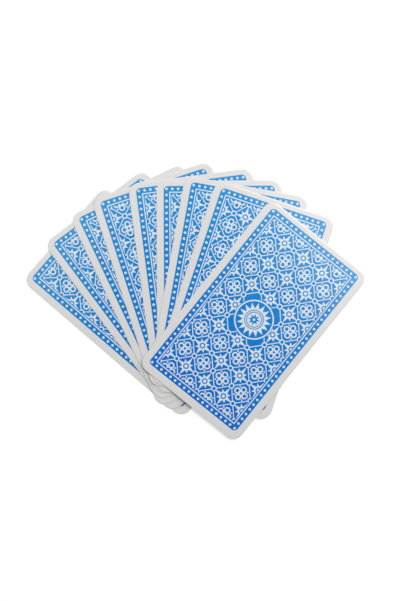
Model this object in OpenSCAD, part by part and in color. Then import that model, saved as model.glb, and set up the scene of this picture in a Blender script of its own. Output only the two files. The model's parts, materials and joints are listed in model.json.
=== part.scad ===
// A hand of tarot cards, fanned and laid face down.
//
// Every card is pasteboard: a printed back sheet and a face sheet, pasted to an opaque core.
// The fan is made as a hand makes it. It starts as a square stack of cards, and each card
// above the bottom one turns clockwise about the point where the thumb holds it, so the
// hand closes again into the same square stack.
//
// The origin lies under the held point of the bottom card, on the table.

/* [Card] */
// Width, across the short side
card_w = 71; // [50:0.5:95]
// Length, from end to end
card_l = 120; // [90:0.5:160]
// Radius of the die-cut corners
corner_r = 6; // [1:0.5:12]

/* [Pasteboard] */
// Thickness of the printed back sheet
back_sheet_t = 0.15; // [0.08:0.01:0.3]
// Thickness of the opaque core between the sheets
core_t = 0.04; // [0.02:0.01:0.2]
// Thickness of the face sheet
face_sheet_t = 0.15; // [0.08:0.01:0.3]
// Air between one card and the next in the stack
air_gap = 0.02; // [0.01:0.01:0.1]

/* [Turns] */
// Lean of the bottom card, in degrees to the left of upright
bottom_lean = 49.25; // [0:0.25:90]
// Turn of the second card from the bottom one, in degrees
turn_2 = 12.5; // [0:0.25:160]
// Turn of the third card
turn_3 = 24; // [0:0.25:160]
// Turn of the fourth card
turn_4 = 31.25; // [0:0.25:160]
// Turn of the fifth card
turn_5 = 41.75; // [0:0.25:160]
// Turn of the sixth card
turn_6 = 49; // [0:0.25:160]
// Turn of the seventh card
turn_7 = 59.5; // [0:0.25:160]
// Turn of the eighth card
turn_8 = 67.75; // [0:0.25:160]
// Turn of the top card
turn_9 = 88; // [0:0.25:160]

/* [Held points] */
// Point of the bottom card under the thumb, from its left edge and its lower end
held_1 = [27, 12]; // [5:0.5:45]
// Point that the second card turns about
held_2 = [32.5, 13]; // [5:0.5:45]
// Point that the third card turns about
held_3 = [31, 15.5]; // [5:0.5:45]
// Point that the fourth card turns about
held_4 = [31, 12]; // [5:0.5:45]
// Point that the fifth card turns about
held_5 = [27.5, 9.5]; // [5:0.5:45]
// Point that the sixth card turns about
held_6 = [23.5, 8]; // [5:0.5:45]
// Point that the seventh card turns about
held_7 = [25.5, 12]; // [5:0.5:45]
// Point that the eighth card turns about
held_8 = [23, 11]; // [5:0.5:45]
// Point that the top card turns about
held_9 = [24, 16]; // [5:0.5:45]

/* [Hidden] */
$fn = 64;

// The hand from the bottom card up
turns = [0, turn_2, turn_3, turn_4, turn_5, turn_6, turn_7, turn_8, turn_9];
held = [held_1, held_2, held_3, held_4, held_5, held_6, held_7, held_8, held_9];
last = len(turns) - 1;

// Heights inside one card, which lies on its face
core_z = face_sheet_t;
back_sheet_z = core_z + core_t;
card_t = back_sheet_z + back_sheet_t;

function sheet_name(card, sheet) = str("card_", card + 1, "_", sheet);

// Outline of a card, with its lower left corner at the origin
module card_outline() {
    translate([corner_r, 0]) square([card_w - 2 * corner_r, card_l]);
    translate([0, corner_r]) square([card_w, card_l - 2 * corner_r]);
    for (x = [corner_r, card_w - corner_r], y = [corner_r, card_l - corner_r])
        translate([x, y]) circle(corner_r);
}

// Where a card lies: square on the stack, then turned about its held point
module in_the_fan(card) {
    rotate(bottom_lean)
        translate(held[card] - held_1)
            rotate(-turns[card])
                translate(-held[card])
                    translate([0, 0, card * (card_t + air_gap)])
                        children();
}

// One die-cut sheet of a card, at its height in the pasteboard
module sheet(card, z, thickness) {
    in_the_fan(card)
        translate([0, 0, z])
            linear_extrude(thickness) card_outline();
}

module face_sheet(card) {
    color("white") sheet(card, 0, face_sheet_t);
}

module core(card) {
    color("dimgray") sheet(card, core_z, core_t);
}

module back_sheet(card) {
    color("dodgerblue") sheet(card, back_sheet_z, back_sheet_t);
}

for (card = [0 : last]) {
    face_sheet(card);
    core(card);
    back_sheet(card);
}
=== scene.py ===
# %% [markdown]
# A fanned hand of nine tarot cards, laid face down on a white table.
#
# Each card is pasteboard: a back sheet printed in one blue ink, a dark core and a face sheet.
# The imported model gives the place and the height of every sheet, so this script only dresses
# them. It reads the frame first.

# %% Load the frame
import json
import math

import bmesh
import bpy
from mathutils import Matrix, Vector


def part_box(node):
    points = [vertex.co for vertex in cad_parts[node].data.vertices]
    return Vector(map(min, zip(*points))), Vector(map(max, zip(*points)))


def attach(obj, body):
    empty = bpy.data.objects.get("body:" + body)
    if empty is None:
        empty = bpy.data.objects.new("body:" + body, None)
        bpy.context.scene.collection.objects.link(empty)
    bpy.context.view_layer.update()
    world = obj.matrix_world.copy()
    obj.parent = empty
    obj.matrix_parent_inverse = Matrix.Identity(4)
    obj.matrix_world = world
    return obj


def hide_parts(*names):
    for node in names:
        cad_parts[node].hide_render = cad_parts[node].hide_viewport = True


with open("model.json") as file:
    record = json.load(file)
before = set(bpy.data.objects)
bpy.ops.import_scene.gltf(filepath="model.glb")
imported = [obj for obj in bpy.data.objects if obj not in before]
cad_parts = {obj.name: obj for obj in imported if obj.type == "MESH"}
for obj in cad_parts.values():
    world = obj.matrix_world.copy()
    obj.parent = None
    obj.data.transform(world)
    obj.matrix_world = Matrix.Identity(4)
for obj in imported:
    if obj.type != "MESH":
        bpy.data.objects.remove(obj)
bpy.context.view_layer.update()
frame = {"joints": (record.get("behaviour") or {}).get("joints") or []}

MM = 0.001

# %% [markdown]
# How each card lies.
#
# A hand is fanned by turning every card about the spot that the thumb holds. The joints of the
# frame say how far each card turns back until it is square on the bottom one. So the lean of the
# bottom card, less that turn, is the lean of any card. A card's middle is the middle of its box.

# %% Read the lie of every card
CARD_COUNT = 9
CARDS = range(1, CARD_COUNT + 1)
BOTTOM_LEAN = math.radians(49.25)
closing_turn = {joint["child"]: math.radians(-joint["range_deg"][0]) for joint in frame["joints"]}


def lie_of(card):
    """Where a card's middle is, on the table, and how far the card leans to the left."""
    low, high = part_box(f"card_{card}_core")
    middle = (low + high) / 2
    lean = BOTTOM_LEAN - closing_turn.get(f"card_{card}", 0.0)
    return Matrix.Translation((middle.x, middle.y, 0.0)) @ Matrix.Rotation(lean, 4, "Z")


for card in CARDS:
    turn = lie_of(card).to_euler().z
    print(f"card {card} leans {math.degrees(turn):.2f} degrees")

# %% [markdown]
# One die-cut sheet.
#
# A steel die cuts the cards out of a large printed board, and its pressure rolls the rim over: a
# shallow slope, wider than it is deep, that catches the light along every edge. A sheet could be
# a copy of the solid in the frame, but that has a sharp rim and no map to print on. Here a flat
# rectangle gets its round corners by a bevel of its four vertices and is extruded. A bevel of the
# rim is as deep as it is wide, so it is made while the sheet is drawn out several times as thick,
# and then the sheet is pressed flat.
#
# The map is written while the sheet still lies square at the origin. It holds plain millimetres
# from the middle of the card, so every card carries its print with it.

# %% Cut one sheet
CARD_W = 71 * MM
CARD_L = 120 * MM
CORNER_R = 6 * MM
CORNER_STEPS = 24
ROLL_W = 0.9 * MM
ROLL_STEPS = 6
PRESSED = 8
SAME_HEIGHT = 1e-7
PLAN = "card_plan"
SURFACE, CUT_EDGE = 0, 1
LEVEL_ENOUGH = 0.5
QUAD = 4
SHARP_ANGLE = math.radians(15)
SAMPLE_T = 0.15 * MM


def die_cut_sheet(thickness, setback=0.0, roll_side=0):
    """A sheet on the ground at the origin, with its rim rolled above (1), below (-1) or not (0)."""
    sheet = bmesh.new()
    bmesh.ops.create_grid(sheet, x_segments=1, y_segments=1, size=0.5)
    size = (CARD_W - 2 * setback, CARD_L - 2 * setback, 1)
    bmesh.ops.scale(sheet, vec=size, verts=sheet.verts)
    bmesh.ops.bevel(sheet, geom=sheet.verts[:], offset=CORNER_R - setback, offset_type="OFFSET",
                    segments=CORNER_STEPS, profile=0.5, affect="VERTICES", material=-1)
    grown = bmesh.ops.extrude_face_region(sheet, geom=sheet.faces[:])["geom"]
    upper = [part for part in grown if isinstance(part, bmesh.types.BMVert)]
    drawn_out = thickness * PRESSED
    bmesh.ops.translate(sheet, vec=(0, 0, drawn_out), verts=upper)
    if roll_side:
        rim_z = drawn_out if roll_side > 0 else 0.0
        rim = [edge for edge in sheet.edges
               if all(abs(vert.co.z - rim_z) < SAME_HEIGHT for vert in edge.verts)]
        bmesh.ops.bevel(sheet, geom=rim, offset=ROLL_W, offset_type="OFFSET", segments=ROLL_STEPS,
                        profile=0.5, affect="EDGES", material=-1)
    bmesh.ops.scale(sheet, vec=(1, 1, 1 / PRESSED), verts=sheet.verts)
    bmesh.ops.recalc_face_normals(sheet, faces=sheet.faces[:])
    return sheet


def draw_plan(sheet):
    """Writes the map in millimetres, and marks the cut edge and the edges that stay sharp."""
    plan = sheet.loops.layers.uv.new(PLAN)
    for face in sheet.faces:
        face.material_index = SURFACE if abs(face.normal.z) > LEVEL_ENOUGH else CUT_EDGE
        face.smooth = True
        for corner in face.loops:
            corner[plan].uv = corner.vert.co.xy / MM
    for edge in sheet.edges:
        bounds_a_flat = any(len(face.verts) > QUAD for face in edge.link_faces)
        edge.smooth = not bounds_a_flat and edge.calc_face_angle() < SHARP_ANGLE


sample = die_cut_sheet(SAMPLE_T, roll_side=1)
print("one sheet has", len(sample.faces), "faces and", round(sample.calc_volume() / MM**3, 1), "mm3")
sample.free()

# %% [markdown]
# Sums on sockets.
#
# A print is drawn by arithmetic on the map: a ring is a distance less a radius. Blender does such
# sums with Math nodes. Wiring those by hand is slow to write and hard to read, so this small class
# wraps a socket, and every sum on it adds the node that works it out. Any other node comes from
# the one method `node`, which takes its settings first and then what goes into its sockets.

# %% A socket that can be calculated with
MIX_FACTOR, MIX_A, MIX_B, MIX_COLOUR = 0, 6, 7, 2


class Value:
    """A socket in a material's nodes, for sums in Python."""

    def __init__(self, tree, socket):
        self.tree = tree
        self.socket = socket

    def node(self, kind, settings, inputs, output=0):
        made = self.tree.nodes.new(kind)
        for name, setting in settings.items():
            setattr(made, name, setting)
        for name, given in inputs.items():
            if isinstance(given, Value):
                self.tree.links.new(given.socket, made.inputs[name])
            else:
                made.inputs[name].default_value = given
        return Value(self.tree, made.outputs[output])

    def math(self, operation, *numbers, clamp=False):
        settings = {"operation": operation, "use_clamp": clamp}
        return self.node("ShaderNodeMath", settings, dict(enumerate(numbers)))

    def __add__(self, other):
        return self.math("ADD", self, other)

    __radd__ = __add__

    def __sub__(self, other):
        return self.math("SUBTRACT", self, other)

    def __rsub__(self, other):
        return self.math("SUBTRACT", other, self)

    def __mul__(self, other):
        return self.math("MULTIPLY", self, other)

    __rmul__ = __mul__

    def __truediv__(self, other):
        return self.math("DIVIDE", self, other)

    def __abs__(self):
        return self.math("ABSOLUTE", self)

    def min(self, other):
        return self.math("MINIMUM", self, other)

    def max(self, other):
        return self.math("MAXIMUM", self, other)

    def round(self):
        return self.math("ROUND", self)

    def fract(self):
        return self.math("FRACT", self)

    def sqrt(self):
        return self.math("SQRT", self)

    def sin(self):
        return self.math("SINE", self)

    def cos(self):
        return self.math("COSINE", self)

    def angle(self, across):
        return self.math("ARCTAN2", self, across)

    def below(self, level, soft):
        """1 where the value is below the level, 0 above it, with a soft step between."""
        return self.math("MULTIPLY_ADD", self, -0.5 / soft, 0.5 + 0.5 * level / soft, clamp=True)

    def axes(self):
        """The x, y and z of a vector."""
        split = self.node("ShaderNodeSeparateXYZ", {}, {"Vector": self})
        return [Value(self.tree, axis) for axis in split.socket.node.outputs]

    def mix(self, first, second):
        """The first colour where the value is 0 and the second where it is 1."""
        settings = {"data_type": "RGBA", "clamp_factor": True}
        return self.node("ShaderNodeMix", settings,
                         {MIX_FACTOR: self, MIX_A: first, MIX_B: second}, MIX_COLOUR)


def start_finish(name, **constants):
    """A new material with what is the same all over, and its Object coordinates."""
    material = bpy.data.materials.new(name)
    material.use_nodes = True
    tree = material.node_tree
    shader = tree.nodes["Principled BSDF"]
    for socket, constant in constants.items():
        shader.inputs[socket.replace("_", " ")].default_value = constant
    place = tree.nodes.new("ShaderNodeTexCoord")
    return material, shader, Value(tree, place.outputs["Object"])


def feed(shader, **links):
    """Links what changes over the surface to the shader's sockets."""
    for socket, value in links.items():
        value.tree.links.new(value.socket, shader.inputs[socket.replace("_", " ")])


print("sums ready")

# %% [markdown]
# The paper.
#
# All the sheets are the same white stock: wood fibre, pressed smooth and lightly varnished. Up
# close it shows faint clouds in its tone, fibres under the varnish, and grey rims where fingers
# hold it. The clouds and fibres are noise on Object coordinates, so no two cards are alike.

# %% Paper stock
PAPER = (0.800, 0.800, 0.790, 1)
PAPER_CLOUD = (0.755, 0.758, 0.755, 1)
HANDLED = (0.600, 0.590, 0.560, 1)
FIBRE_SCALE = 2600
CLOUD_SCALE = 70
CLOUD_DETAIL = 5.0
TONE_CLOUDS = 0.7
TONE_FIBRES = 0.5
RIM_REACH = 0.25
RIM_SOFT = 0.35
RIM_CLOUDS = 0.405
RIM_FIBRES = 0.135


def noise(place, scale, detail=3.0, roughness=0.5):
    settings = {"noise_dimensions": "3D"}
    inputs = {"Vector": place, "Scale": scale, "Detail": detail, "Roughness": roughness}
    return place.node("ShaderNodeTexNoise", settings, inputs)


def plan_of(place):
    """The card's own x and y, in millimetres from its middle."""
    x, y, _ = place.node("ShaderNodeUVMap", {"uv_map": PLAN}, {}).axes()
    return x, y


def distance(x, y):
    return (x * x + y * y).sqrt()


def paper_colour(place, x, y):
    """White stock with clouds, and a handled rim that is broken up by the fibres."""
    fibres = noise(place, FIBRE_SCALE)
    clouds = noise(place, CLOUD_SCALE, detail=CLOUD_DETAIL)
    corner_x = (CARD_W / 2 - CORNER_R) / MM
    corner_y = (CARD_L / 2 - CORNER_R) / MM
    to_rim = CORNER_R / MM - distance((abs(x) - corner_x).max(0.0), (abs(y) - corner_y).max(0.0))
    handled = to_rim.below(RIM_REACH, RIM_SOFT) * (clouds * RIM_CLOUDS + fibres * RIM_FIBRES)
    stock = (clouds * TONE_CLOUDS + fibres * TONE_FIBRES).mix(PAPER, PAPER_CLOUD)
    return handled.mix(stock, HANDLED), fibres, clouds


def relief(height, strength, depth):
    """A fine relief in the surface, as deep as depth in metres."""
    inputs = {"Strength": strength, "Distance": depth, "Height": height}
    return height.node("ShaderNodeBump", {}, inputs)


print("paper of tone", PAPER[:3])

# %% [markdown]
# Shapes for the print.
#
# The back print is line art in one ink, so every motif is made of a few exact shapes. Each shape
# is a function that gives a distance: below zero inside the shape and above zero outside it.
# A star folds the turn about its middle into one half of one ray, where its side is a line.

# %% Distances to a ring and a star
SOFT = 0.045


def ring(radius, middle, width):
    return abs(radius - middle) - width / 2


def star(radius, turn, rays, tip, notch):
    """A star with straight sides from its tips to the notches between them."""
    step = 2 * math.pi / rays
    fold = abs(turn - (turn / step).round() * step)
    notch_x = notch * math.cos(step / 2)
    notch_y = notch * math.sin(step / 2)
    side = math.hypot(notch_x - tip, notch_y)
    along = radius * fold.cos() - tip
    across = radius * fold.sin()
    return along * (notch_y / side) - across * ((notch_x - tip) / side)


def inked(shape):
    """Turns a distance into cover: 1 inside the shape."""
    return shape.below(0.0, SOFT)


print("a sharp edge is", 2 * SOFT, "mm wide")

# %% [markdown]
# A beaded band.
#
# Card backs are framed, because a frame hides how the print drifts on the board. This band is
# solid ink with round corners and a row of white beads. The pitch is the length of a side over a
# whole number of beads, so a bead sits in every corner.

# %% The band round the print
FIELD_W = 62.9
FIELD_L = 112.6
FIELD_CORNER = 2.5
BAND = 3.2
BEAD_R = 0.72
BEADS_ACROSS = 9
BEADS_ALONG = 16
BAND_LINE = 0.6
INNER_GAP = 1.2


def rounded_field(x, y, width, length, corner):
    """Distance to a rectangle with round corners about the middle of the card."""
    over_x = abs(x) - (width / 2 - corner)
    over_y = abs(y) - (length / 2 - corner)
    return distance(over_x.max(0.0), over_y.max(0.0)) + over_x.max(over_y).min(0.0) - corner


def bead_band(x, y):
    """White of the band: its beads, and the line that closes it inside."""
    edge = (abs(x) - FIELD_W / 2).max(abs(y) - FIELD_L / 2)
    row_x = FIELD_W / 2 - BAND / 2
    row_y = FIELD_L / 2 - BAND / 2
    pitch_x = row_x / BEADS_ACROSS
    pitch_y = row_y / BEADS_ALONG
    across = distance(x - (x / pitch_x).round() * pitch_x, abs(y) - row_y)
    along = distance(abs(x) - row_x, y - (y / pitch_y).round() * pitch_y)
    line = ring(edge, -BAND - BAND_LINE / 2, BAND_LINE)
    return inked(across.min(along) - BEAD_R).max(inked(line))


print("beads along the band:", 4 * BEADS_ACROSS + 4 * BEADS_ALONG)

# %% [markdown]
# A star and a flower.
#
# Two small motifs fill the field. The star is two stars in one, with four long rays and four short
# ones between them. The flower has four lobes. Taking the larger of x and y as the way out, and the
# smaller as the way across, folds them onto each other, so only one lobe has to be drawn.

# %% Two motifs
STAR_RAYS = 4
LONG_TIP = 6.0
SHORT_TIP = 4.1
STAR_NOTCH = 1.7
STAR_RING_R = 1.3
STAR_RING_W = 0.7
LOBE_AT = 2.55
LOBE_R = 1.8
LOBE_HOLE = 1.0
BUD_AT = 2.75
BUD_R = 0.5
FLOWER_R = 1.2
FLOWER_HOLE = 0.7


def small_star(radius, turn):
    """Four long rays and four short ones, with a ring about the middle."""
    long_rays = star(radius, turn, STAR_RAYS, LONG_TIP, STAR_NOTCH)
    short_rays = star(radius, turn + math.pi / STAR_RAYS, STAR_RAYS, SHORT_TIP, STAR_NOTCH)
    eye = ring(radius, STAR_RING_R, STAR_RING_W)
    return inked(long_rays.min(short_rays)) * (1 - inked(eye))


def four_lobes(x, y, radius):
    """A flower of four round lobes, each with a dot, and a bud between each two."""
    lobe = distance(abs(x).max(abs(y)) - LOBE_AT, abs(x).min(abs(y)))
    bud = distance(abs(x) - BUD_AT, abs(y) - BUD_AT)
    petals = inked((lobe - LOBE_R).min(radius - FLOWER_R))
    pierced = petals * (1 - inked(lobe - LOBE_HOLE)) * (1 - inked(radius - FLOWER_HOLE))
    return pierced.max(inked(bud - BUD_R))


print("a star is", 2 * LONG_TIP, "mm wide and a flower", 2 * (LOBE_AT + LOBE_R), "mm")

# %% [markdown]
# A trellis for them.
#
# The field inside the band is a lattice of slanting lines. Two slanted counts, u and v, go up by
# one from line to line, so rounding them finds the nearest cell, and what is left over is the
# place inside it. Rows of stars take turns with rows of flowers, and a ring covers each crossing.
# The cells nearest the middle stay plain, to set off what stands there.

# %% The trellis
HALF_W = FIELD_W / 2 - BAND - INNER_GAP
HALF_L = FIELD_L / 2 - BAND - INNER_GAP
CELLS_ACROSS = 4
CELLS_ALONG = 7
CELL_W = 2 * HALF_W / CELLS_ACROSS
CELL_L = 2 * HALF_L / CELLS_ALONG
LINE_W = 0.52
KNOT_R = 1.6
KNOT_HOLE = 0.95
PLAIN_WITHIN = 11.0


def trellis(x, y):
    """White of the lattice with its stars, flowers and rings."""
    u = x / CELL_W + y / CELL_L
    v = x / CELL_W - y / CELL_L
    cell_u = u.round()
    cell_v = v.round()
    in_u = u - cell_u
    in_v = v - cell_v
    slant = 1 / math.hypot(1 / CELL_W, 1 / CELL_L)
    to_line = (0.5 - abs(in_u).max(abs(in_v))) * slant
    cell_x = (in_u + in_v) * (CELL_W / 2)
    cell_y = (in_u - in_v) * (CELL_L / 2)
    radius = distance(cell_x, cell_y)
    flower_row = ((cell_u - cell_v) * 0.5).fract() * 2
    stars = small_star(radius, cell_y.angle(cell_x)) * (1 - flower_row)
    flowers = four_lobes(cell_x, cell_y, radius) * flower_row
    knot_u = u.fract() - 0.5
    knot_v = v.fract() - 0.5
    to_knot = distance((knot_u + knot_v) * (CELL_W / 2), (knot_u - knot_v) * (CELL_L / 2))
    cell_from_middle = distance((cell_u + cell_v) * (CELL_W / 2), (cell_u - cell_v) * (CELL_L / 2))
    motifs = stars.max(flowers) * inked(PLAIN_WITHIN - cell_from_middle)
    lines = inked(to_line - LINE_W / 2)
    knots = inked(to_knot - KNOT_R)
    return motifs.max(lines) * (1 - knots) + knots * (1 - inked(to_knot - KNOT_HOLE))


print(f"a cell of the trellis is {CELL_W:.1f} by {CELL_L:.1f} mm")

# %% [markdown]
# A sun in the middle.
#
# One round medallion marks the centre, so that the back looks the same either way up. It is a
# sun of sixteen rays with rings and a small star inside it, all from the same few shapes.

# %% The medallion
MEDALLION_R = 11.7
SUN_RAYS = 16
SUN_TIP = 9.8
SUN_NOTCH = 6.4
SUN_HOLE = 5.6
OUTER_RING_R = 10.9
OUTER_RING_W = 0.8
INNER_RING_R = 4.8
INNER_RING_W = 0.6
EYE_R = 4.0
EYE_RAYS = 8
EYE_TIP = 3.5
EYE_NOTCH = 1.7
PUPIL_R = 0.75


def medallion(radius, turn):
    """White of the sun, its rings and the star in its middle."""
    rays = inked(star(radius, turn, SUN_RAYS, SUN_TIP, SUN_NOTCH)) * (1 - inked(radius - SUN_HOLE))
    outer = inked(ring(radius, OUTER_RING_R, OUTER_RING_W))
    inner = inked(ring(radius, INNER_RING_R, INNER_RING_W))
    eye_star = star(radius, turn + math.pi / EYE_RAYS, EYE_RAYS, EYE_TIP, EYE_NOTCH)
    eye = inked(radius - EYE_R) * (1 - inked(eye_star))
    return rays.max(outer).max(inner).max(eye).max(inked(radius - PUPIL_R))


def back_print(x, y):
    """The printed field, and the cover of the blue ink in it."""
    field = inked(rounded_field(x, y, FIELD_W, FIELD_L, FIELD_CORNER))
    inner = inked((abs(x) - HALF_W).max(abs(y) - HALF_L))
    radius = distance(x, y)
    in_disc = inked(radius - MEDALLION_R)
    pattern = trellis(x, y) * (1 - in_disc) + medallion(radius, y.angle(x)) * in_disc
    return field, field * (1 - bead_band(x, y).max(pattern * inner))


print("the sun has", SUN_RAYS, "rays")

# %% [markdown]
# Ink and varnish.
#
# The ink is a bright process blue. It lies a touch uneven on the fibres. Along the card it is also
# painted paler from the foot to the head: painted light, as the light falls brighter towards the
# heads of the cards. The varnish over it is a little smoother than over the bare paper. So the same
# cover that picks the colour also lowers the roughness, and the fibres give a relief of a few
# thousandths of a millimetre that only shows in the gloss.

# %% The finish of a back sheet
INK_FULL = (0.001, 0.148, 0.655, 1)
INK_THIN_AND_LIT = (0.002, 0.335, 0.692, 1)
THIN_LEAST = 0.24
THIN_FIBRES = 0.20
# Painted light: how much paler the ink is painted for each millimetre towards the card's head.
THIN_CLOUDS = 0.16
PAINTED_LIGHT_EACH_MM = 0.0058
PALE_WASH = (0.740, 0.835, 0.885, 1)
PRINT_DRIFT = 0.7
VARNISH_IOR = 1.57
BACK_ROUGH = 0.195
INK_SMOOTHER = 0.02
CLOUDS_ROUGHER = 0.04
FIBRE_RELIEF = 0.25
FIBRE_DEPTH = 0.004 * MM


def make_back_finish():
    material, shader, place = start_finish("back_print", IOR=VARNISH_IOR)
    x, y = plan_of(place)
    paper, fibres, clouds = paper_colour(place, x, y)
    field, cover = back_print(x, y - PRINT_DRIFT)
    # The fibres and clouds make the ink truly uneven. The term along y is painted light: paler
    # towards the head, deeper towards the foot.
    thin_and_lit = THIN_LEAST + fibres * THIN_FIBRES + clouds * THIN_CLOUDS + y * PAINTED_LIGHT_EACH_MM
    ink = thin_and_lit.mix(INK_FULL, INK_THIN_AND_LIT)
    washed = field.mix(paper, PALE_WASH)
    roughness = BACK_ROUGH - cover * INK_SMOOTHER + clouds * CLOUDS_ROUGHER
    feed(shader, Base_Color=cover.mix(washed, ink), Roughness=roughness,
         Normal=relief(fibres, FIBRE_RELIEF, FIBRE_DEPTH))
    return material


back_finish = make_back_finish()
print("the back print takes", len(back_finish.node_tree.nodes), "nodes")

# %% [markdown]
# The cut edge and the core.
#
# Between the white sheets lies a paste layer, black with soot, that keeps light from shining
# through a card. From the side a card is therefore a thin dark line between two white ones. The
# cut paper is matt and its fibres stand up, so it gets a coarser noise and no varnish.

# %% Finishes seen from the side
CORE_DARK = (0.018, 0.018, 0.021, 1)
CORE_GREY = (0.060, 0.060, 0.065, 1)
EDGE_WHITE = (0.780, 0.775, 0.755, 1)
EDGE_GREY = (0.560, 0.555, 0.535, 1)
BARE_IOR = 1.4
BARE_GLOSS = 0.2
BARE_ROUGH = 0.75
GRAIN_DETAIL = 4.0
GRAIN_COARSE = 0.6
GRAIN_ROUGHER = 0.2
GRAIN_RELIEF = 0.4
GRAIN_DEPTH = 2 * FIBRE_DEPTH


def make_side_finish(name, light, dark, scale):
    material, shader, place = start_finish(name, IOR=BARE_IOR, Specular_IOR_Level=BARE_GLOSS)
    grain = noise(place, scale, detail=GRAIN_DETAIL, roughness=GRAIN_COARSE)
    feed(shader, Base_Color=grain.mix(light, dark), Roughness=grain * GRAIN_ROUGHER + BARE_ROUGH,
         Normal=relief(grain, GRAIN_RELIEF, GRAIN_DEPTH))
    return material


edge_finish = make_side_finish("cut_edge", EDGE_WHITE, EDGE_GREY, FIBRE_SCALE)
core_finish = make_side_finish("core_paste", CORE_DARK, CORE_GREY, FIBRE_SCALE / 2)
print("side finishes:", edge_finish.name, core_finish.name)

# %% [markdown]
# The faces.
#
# The hand lies face down, so its faces are only seen from below. They get the plainest face that
# a tarot card has, a number card of the coins: one coin on the bottom card and nine on the top
# one. A coin has a rim of beads and a flower in its middle. Their sizes are parts of the coin's
# radius, so that they grow with it, but its lines get bolder more slowly.

# %% One coin
COIN_PETALS = 8
COIN_BEADS = 20
BEADS_AT = 0.84
COIN_BEAD_R = 0.055
INNER_RIM = 0.70
PETAL_TIP = 0.62
PETAL_NOTCH = 0.34
COIN_EYE = 0.18
THINNEST_BOLD = 0.25
BOLDER = 0.03
FINE = 0.6


def coin(x, y, size):
    """Metal, petals and lines of one coin about the point where x and y are 0."""
    radius = distance(x, y)
    turn = y.angle(x)
    bead_step = 2 * math.pi / COIN_BEADS
    bead_turn = turn - (turn / bead_step).round() * bead_step
    bead = distance(radius - BEADS_AT * size, radius * bead_turn) - COIN_BEAD_R * size
    flower = star(radius, turn, COIN_PETALS, PETAL_TIP * size, PETAL_NOTCH * size)
    bold = THINNEST_BOLD + BOLDER * size
    fine = FINE * bold
    rims = inked(ring(radius, size, bold)).max(inked(ring(radius, INNER_RIM * size, fine)))
    outline = inked(ring(flower, 0.0, fine)).max(inked(ring(radius, COIN_EYE * size, fine)))
    return inked(radius - size), inked(flower), rims.max(outline).max(inked(bead))


print("coins of", COIN_PETALS, "petals and", COIN_BEADS, "beads")

# %% [markdown]
# The places of the coins.
#
# Up to three coins stand in one column, and more in two, with an odd one between the rows. Drawing
# every coin for itself would take hundreds of nodes. The card is folded instead: left on right,
# and row on row, so that one coin is drawn and shows in every place.

# %% Many coins
COLUMN_X = 16.0
REACH_Y = 38.0
ONE_COLUMN = 3
ACE_R = 20.0
LEAST_R = 8.5
LESS_EACH = 5.5


def folded_rows(y, rows):
    """The height over the nearest row, with the rows spread evenly from end to end."""
    if rows == 1:
        return y
    gap = 2 * REACH_Y / (rows - 1)
    row = ((y + REACH_Y) / gap).max(0.0).min(rows - 1.0).round()
    return y + REACH_Y - row * gap


def coins(x, y, count):
    """Metal, petals and lines of all the coins on a number card."""
    size = max(LEAST_R, ACE_R - LESS_EACH * (count - 1))
    if count <= ONE_COLUMN:
        return coin(x, folded_rows(y, count), size)
    rows = count // 2
    covers = coin(abs(x) - COLUMN_X, folded_rows(y, rows), size)
    if count % 2:
        odd_y = REACH_Y / (rows - 1) if rows % 2 else 0.0
        covers = [some.max(more) for some, more in zip(covers, coin(x, y - odd_y, size))]
    return covers


print("a lone coin is", 2 * ACE_R, "mm wide and one of many", 2 * LEAST_R, "mm")

# %% [markdown]
# Stem and frame.
#
# A wavy stem with leaves runs up the middle behind the coins, as on old number cards, and two thin
# lines frame the card. The stem is a sine of the height, with a berry at either end. A leaf grows
# out of every bend: it is what two circles have in common, less a bare vein along its middle.

# %% The finish of a face sheet
KEY_INK = (0.020, 0.024, 0.040, 1)
COIN_OCHRE = (0.560, 0.300, 0.060, 1)
PETAL_RED = (0.400, 0.045, 0.035, 1)
STEM_GREEN = (0.075, 0.140, 0.060, 1)
STEM_W = 0.8
WAVE = 19.0
SWAY = 2.2
STEM_REACH = 2.5 * WAVE
BERRY_R = 1.6
LEAF_ROUND = 5.1
LEAF_FLAT = 3.7
LEAF_VEIN = 0.24
HARD = 0.001
FRAME_OUTER, FRAME_OUTER_W = 4.5, 0.5
FRAME_INNER, FRAME_INNER_W = 5.8, 0.25
FACE_ROUGH = 0.21
LEAST_COVER = 0.80


def leafy_stem(x, y):
    """Cover of the stem up the middle, with a leaf on the outside of every bend."""
    bend = (y * (2 * math.pi / WAVE)).sin()
    stem = abs(x - bend * SWAY) - STEM_W / 2
    diagonal = math.sqrt(0.5)
    leaf_out = diagonal * math.sqrt(LEAF_ROUND**2 - LEAF_FLAT**2)
    bends = (y - leaf_out) / (WAVE / 2)
    leaf_y = (bends.fract() - 0.5) * (WAVE / 2)
    side = (bends * 0.5).fract().below(0.5, HARD) * 2 - 1
    leaf_x = x * side - (SWAY + leaf_out)
    along = (leaf_x + leaf_y) * diagonal
    across = abs(leaf_x - leaf_y) * diagonal
    leaf = (distance(along, across + LEAF_FLAT) - LEAF_ROUND).max(LEAF_VEIN / 2 - across)
    leaf = leaf.max(BERRY_R - STEM_REACH - y)
    return inked(stem.min(leaf).max(abs(y) - STEM_REACH))


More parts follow.
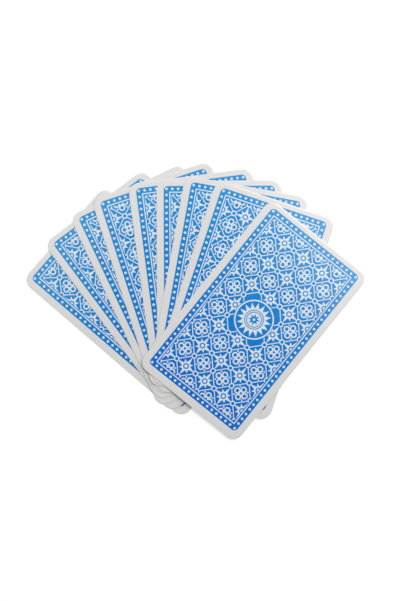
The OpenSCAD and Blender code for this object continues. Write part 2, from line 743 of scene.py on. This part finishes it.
def make_face_finish(count):
    material, shader, place = start_finish(f"face_of_{count}", IOR=VARNISH_IOR)
    x, y = plan_of(place)
    paper, fibres, clouds = paper_colour(place, x, y)
    metal, petals, lines = coins(x, y, count)
    edge = (abs(x) - CARD_W / MM / 2).max(abs(y) - CARD_L / MM / 2)
    outer = inked(ring(edge, -FRAME_OUTER, FRAME_OUTER_W))
    inner = inked(ring(edge, -FRAME_INNER, FRAME_INNER_W))
    worn = LEAST_COVER + fibres * (1 - LEAST_COVER)
    drawn = (leafy_stem(x, y) * worn).mix(paper, STEM_GREEN)
    berries = inked(distance(x, abs(y) - STEM_REACH) - BERRY_R)
    drawn = (berries * worn).mix(drawn, PETAL_RED)
    drawn = (metal * worn).mix(drawn, COIN_OCHRE)
    drawn = (petals * worn).mix(drawn, PETAL_RED)
    drawn = lines.max(outer).max(inner).mix(drawn, KEY_INK)
    feed(shader, Base_Color=drawn, Roughness=FACE_ROUGH + clouds * CLOUDS_ROUGHER,
         Normal=relief(fibres, FIBRE_RELIEF, FIBRE_DEPTH))
    return material


print("a leaf every", WAVE / 2, "mm")

# %% [markdown]
# Nine cards.
#
# Every sheet is cut at the origin, gets its map, and is then moved to the place of its card. Its
# lower and upper faces are read from the sheet in the frame that it stands for. The core is set
# back a hair from the cut, as paste is.

# %% Lay the hand
PASTE_SETBACK = 0.03 * MM


def lay_sheet(card, layer, finishes, slot, **cut):
    """One sheet of a card, in the place of its node, riding on the card."""
    node = f"card_{card}_{layer}"
    low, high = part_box(node)
    sheet = die_cut_sheet(high.z - low.z, **cut)
    draw_plan(sheet)
    lie = Matrix.Translation((0, 0, low.z)) @ lie_of(card)
    bmesh.ops.transform(sheet, matrix=lie, verts=sheet.verts)
    mesh = bpy.data.meshes.new(node)
    sheet.to_mesh(mesh)
    sheet.free()
    piece = bpy.data.objects.new(f"{layer}_of_card_{card}", mesh)
    bpy.context.scene.collection.objects.link(piece)
    for finish in finishes:
        mesh.materials.append(finish)
    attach(piece, f"card_{card}")
    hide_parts(node)


for card in CARDS:
    lay_sheet(card, "face_sheet", [make_face_finish(card), edge_finish], "face_paper", roll_side=-1)
    lay_sheet(card, "core", [core_finish, core_finish], "core_paste", setback=PASTE_SETBACK)
    lay_sheet(card, "back_sheet", [back_finish, edge_finish], "back_print", roll_side=1)

# %% [markdown]
# The table.
#
# The cards lie on a plain white ground that the picture shows as pure white. A white floor alone
# would come out as grey as the paper, so it also glows by itself. It needs more of that in front,
# where the lamps are farther away: just enough to be white, so that the cards still shade it. Far
# from the hand the glow fades until the floor is as light as the walls behind it.

# %% A pale floor
FLOOR_HALF = 15.0
FLOOR_DROP = 0.02 * MM
FLOOR_WHITE = 0.77
FLOOR_ROUGH = 0.9
FRONT_Y, FRONT_GLOW = -0.300, 0.600
BACK_Y, BACK_GLOW = 0.150, 0.285
NEAR_R = 0.25
FAR_R, FAR_GLOW = 0.75, 0.293


def grey(level):
    return (level, level, level, 1)


def make_floor():
    ground = bmesh.new()
    bmesh.ops.create_grid(ground, x_segments=1, y_segments=1, size=FLOOR_HALF)
    bmesh.ops.translate(ground, vec=(0, 0, -FLOOR_DROP), verts=ground.verts)
    mesh = bpy.data.meshes.new("floor")
    ground.to_mesh(mesh)
    ground.free()
    floor = bpy.data.objects.new("floor", mesh)
    bpy.context.scene.collection.objects.link(floor)
    material, shader, place = start_finish("white_ground", Base_Color=grey(FLOOR_WHITE),
                                           Roughness=FLOOR_ROUGH, Specular_IOR_Level=0.0,
                                           Emission_Strength=1.0)
    x, y, _ = place.axes()
    near = ((y - FRONT_Y) / (BACK_Y - FRONT_Y)).mix(grey(FRONT_GLOW), grey(BACK_GLOW))
    glow = ((distance(x, y) - NEAR_R) / (FAR_R - NEAR_R)).mix(near, grey(FAR_GLOW))
    feed(shader, Emission_Color=glow)
    mesh.materials.append(material)


make_floor()
print("the floor is", 2 * FLOOR_HALF, "m wide")

# %% [markdown]
# The light.
#
# The borders are brightest at the upper right, the ink has a pale veil towards the top, and every
# card shades the one under its left edge. So two soft boxes stand behind the hand, a bright one to
# the right and a wide one to the left, and light from a window falls in between them. White walls
# fill the rest.

# %% Studio light
AIM = Vector((0.0, 0.04, 0.0))
RIGHT_BOX_AT = Vector((0.30, 0.22, 0.42))
RIGHT_BOX_SIZE = (0.27, 0.60)
RIGHT_BOX_WATTS = 1.36
LEFT_BOX_AT = Vector((-0.235, 0.280, 0.42))
LEFT_BOX_SIZE = (0.48, 0.55)
LEFT_BOX_WATTS = 1.03
WINDOW_FROM = Vector((0.29, 0.42, 1.0))
WINDOW_LEVEL = 0.90
WINDOW_SPREAD = math.radians(15)
WALL_LEVEL = 0.60
CEILING_LEVEL = 0.05


def add_lamp(name, kind, at, **settings):
    """A lamp that looks from where it stands at the middle of the hand."""
    data = bpy.data.lights.new(name, kind)
    for setting, amount in settings.items():
        setattr(data, setting, amount)
    lamp = bpy.data.objects.new(name, data)
    lamp.location = at
    lamp.rotation_mode = "QUATERNION"
    lamp.rotation_quaternion = (AIM - at).to_track_quat("-Z", "Y")
    lamp.visible_camera = False
    bpy.context.scene.collection.objects.link(lamp)


def surround():
    """White walls round the table, and a dim ceiling above it."""
    world = bpy.data.worlds.new("studio")
    bpy.context.scene.world = world
    world.use_nodes = True
    tree = world.node_tree
    shader = tree.nodes["Background"]
    way = Value(tree, tree.nodes.new("ShaderNodeTexCoord").outputs["Generated"])
    height = way.axes()[2]
    fade = 1 - abs(height)
    tone = (fade * fade).mix(grey(CEILING_LEVEL), grey(WALL_LEVEL))
    feed(shader, Color=tone)


add_lamp("right_box", "AREA", RIGHT_BOX_AT, energy=RIGHT_BOX_WATTS, shape="RECTANGLE",
         size=RIGHT_BOX_SIZE[0], size_y=RIGHT_BOX_SIZE[1])
add_lamp("left_box", "AREA", LEFT_BOX_AT, energy=LEFT_BOX_WATTS, shape="RECTANGLE",
         size=LEFT_BOX_SIZE[0], size_y=LEFT_BOX_SIZE[1])
add_lamp("window", "SUN", AIM + WINDOW_FROM, energy=WINDOW_LEVEL, angle=WINDOW_SPREAD)
surround()
bpy.context.scene.view_settings.view_transform = "Standard"
print("right box", round((RIGHT_BOX_AT - AIM).length, 2), "m from the hand")

# %% [markdown]
# The camera.
#
# The picture is taken from straight above. How the cards higher in the hand are a little larger
# gives the camera's height, and the length of floor in the picture gives its lens.

# %% Camera over the table
CAMERA_AT = (1.725 * MM, 38.852 * MM, 650 * MM)
FLOOR_IN_VIEW = 341.4 * MM
SENSOR = 36.0
NEAREST = 10 * MM


def set_camera():
    data = bpy.data.cameras.new("camera")
    data.sensor_width = SENSOR
    data.lens = SENSOR * CAMERA_AT[2] / FLOOR_IN_VIEW
    data.clip_start = NEAREST
    camera = bpy.data.objects.new("camera", data)
    camera.location = CAMERA_AT
    bpy.context.scene.collection.objects.link(camera)
    bpy.context.scene.camera = camera
    return data.lens


print("lens", round(set_camera(), 2), "mm")
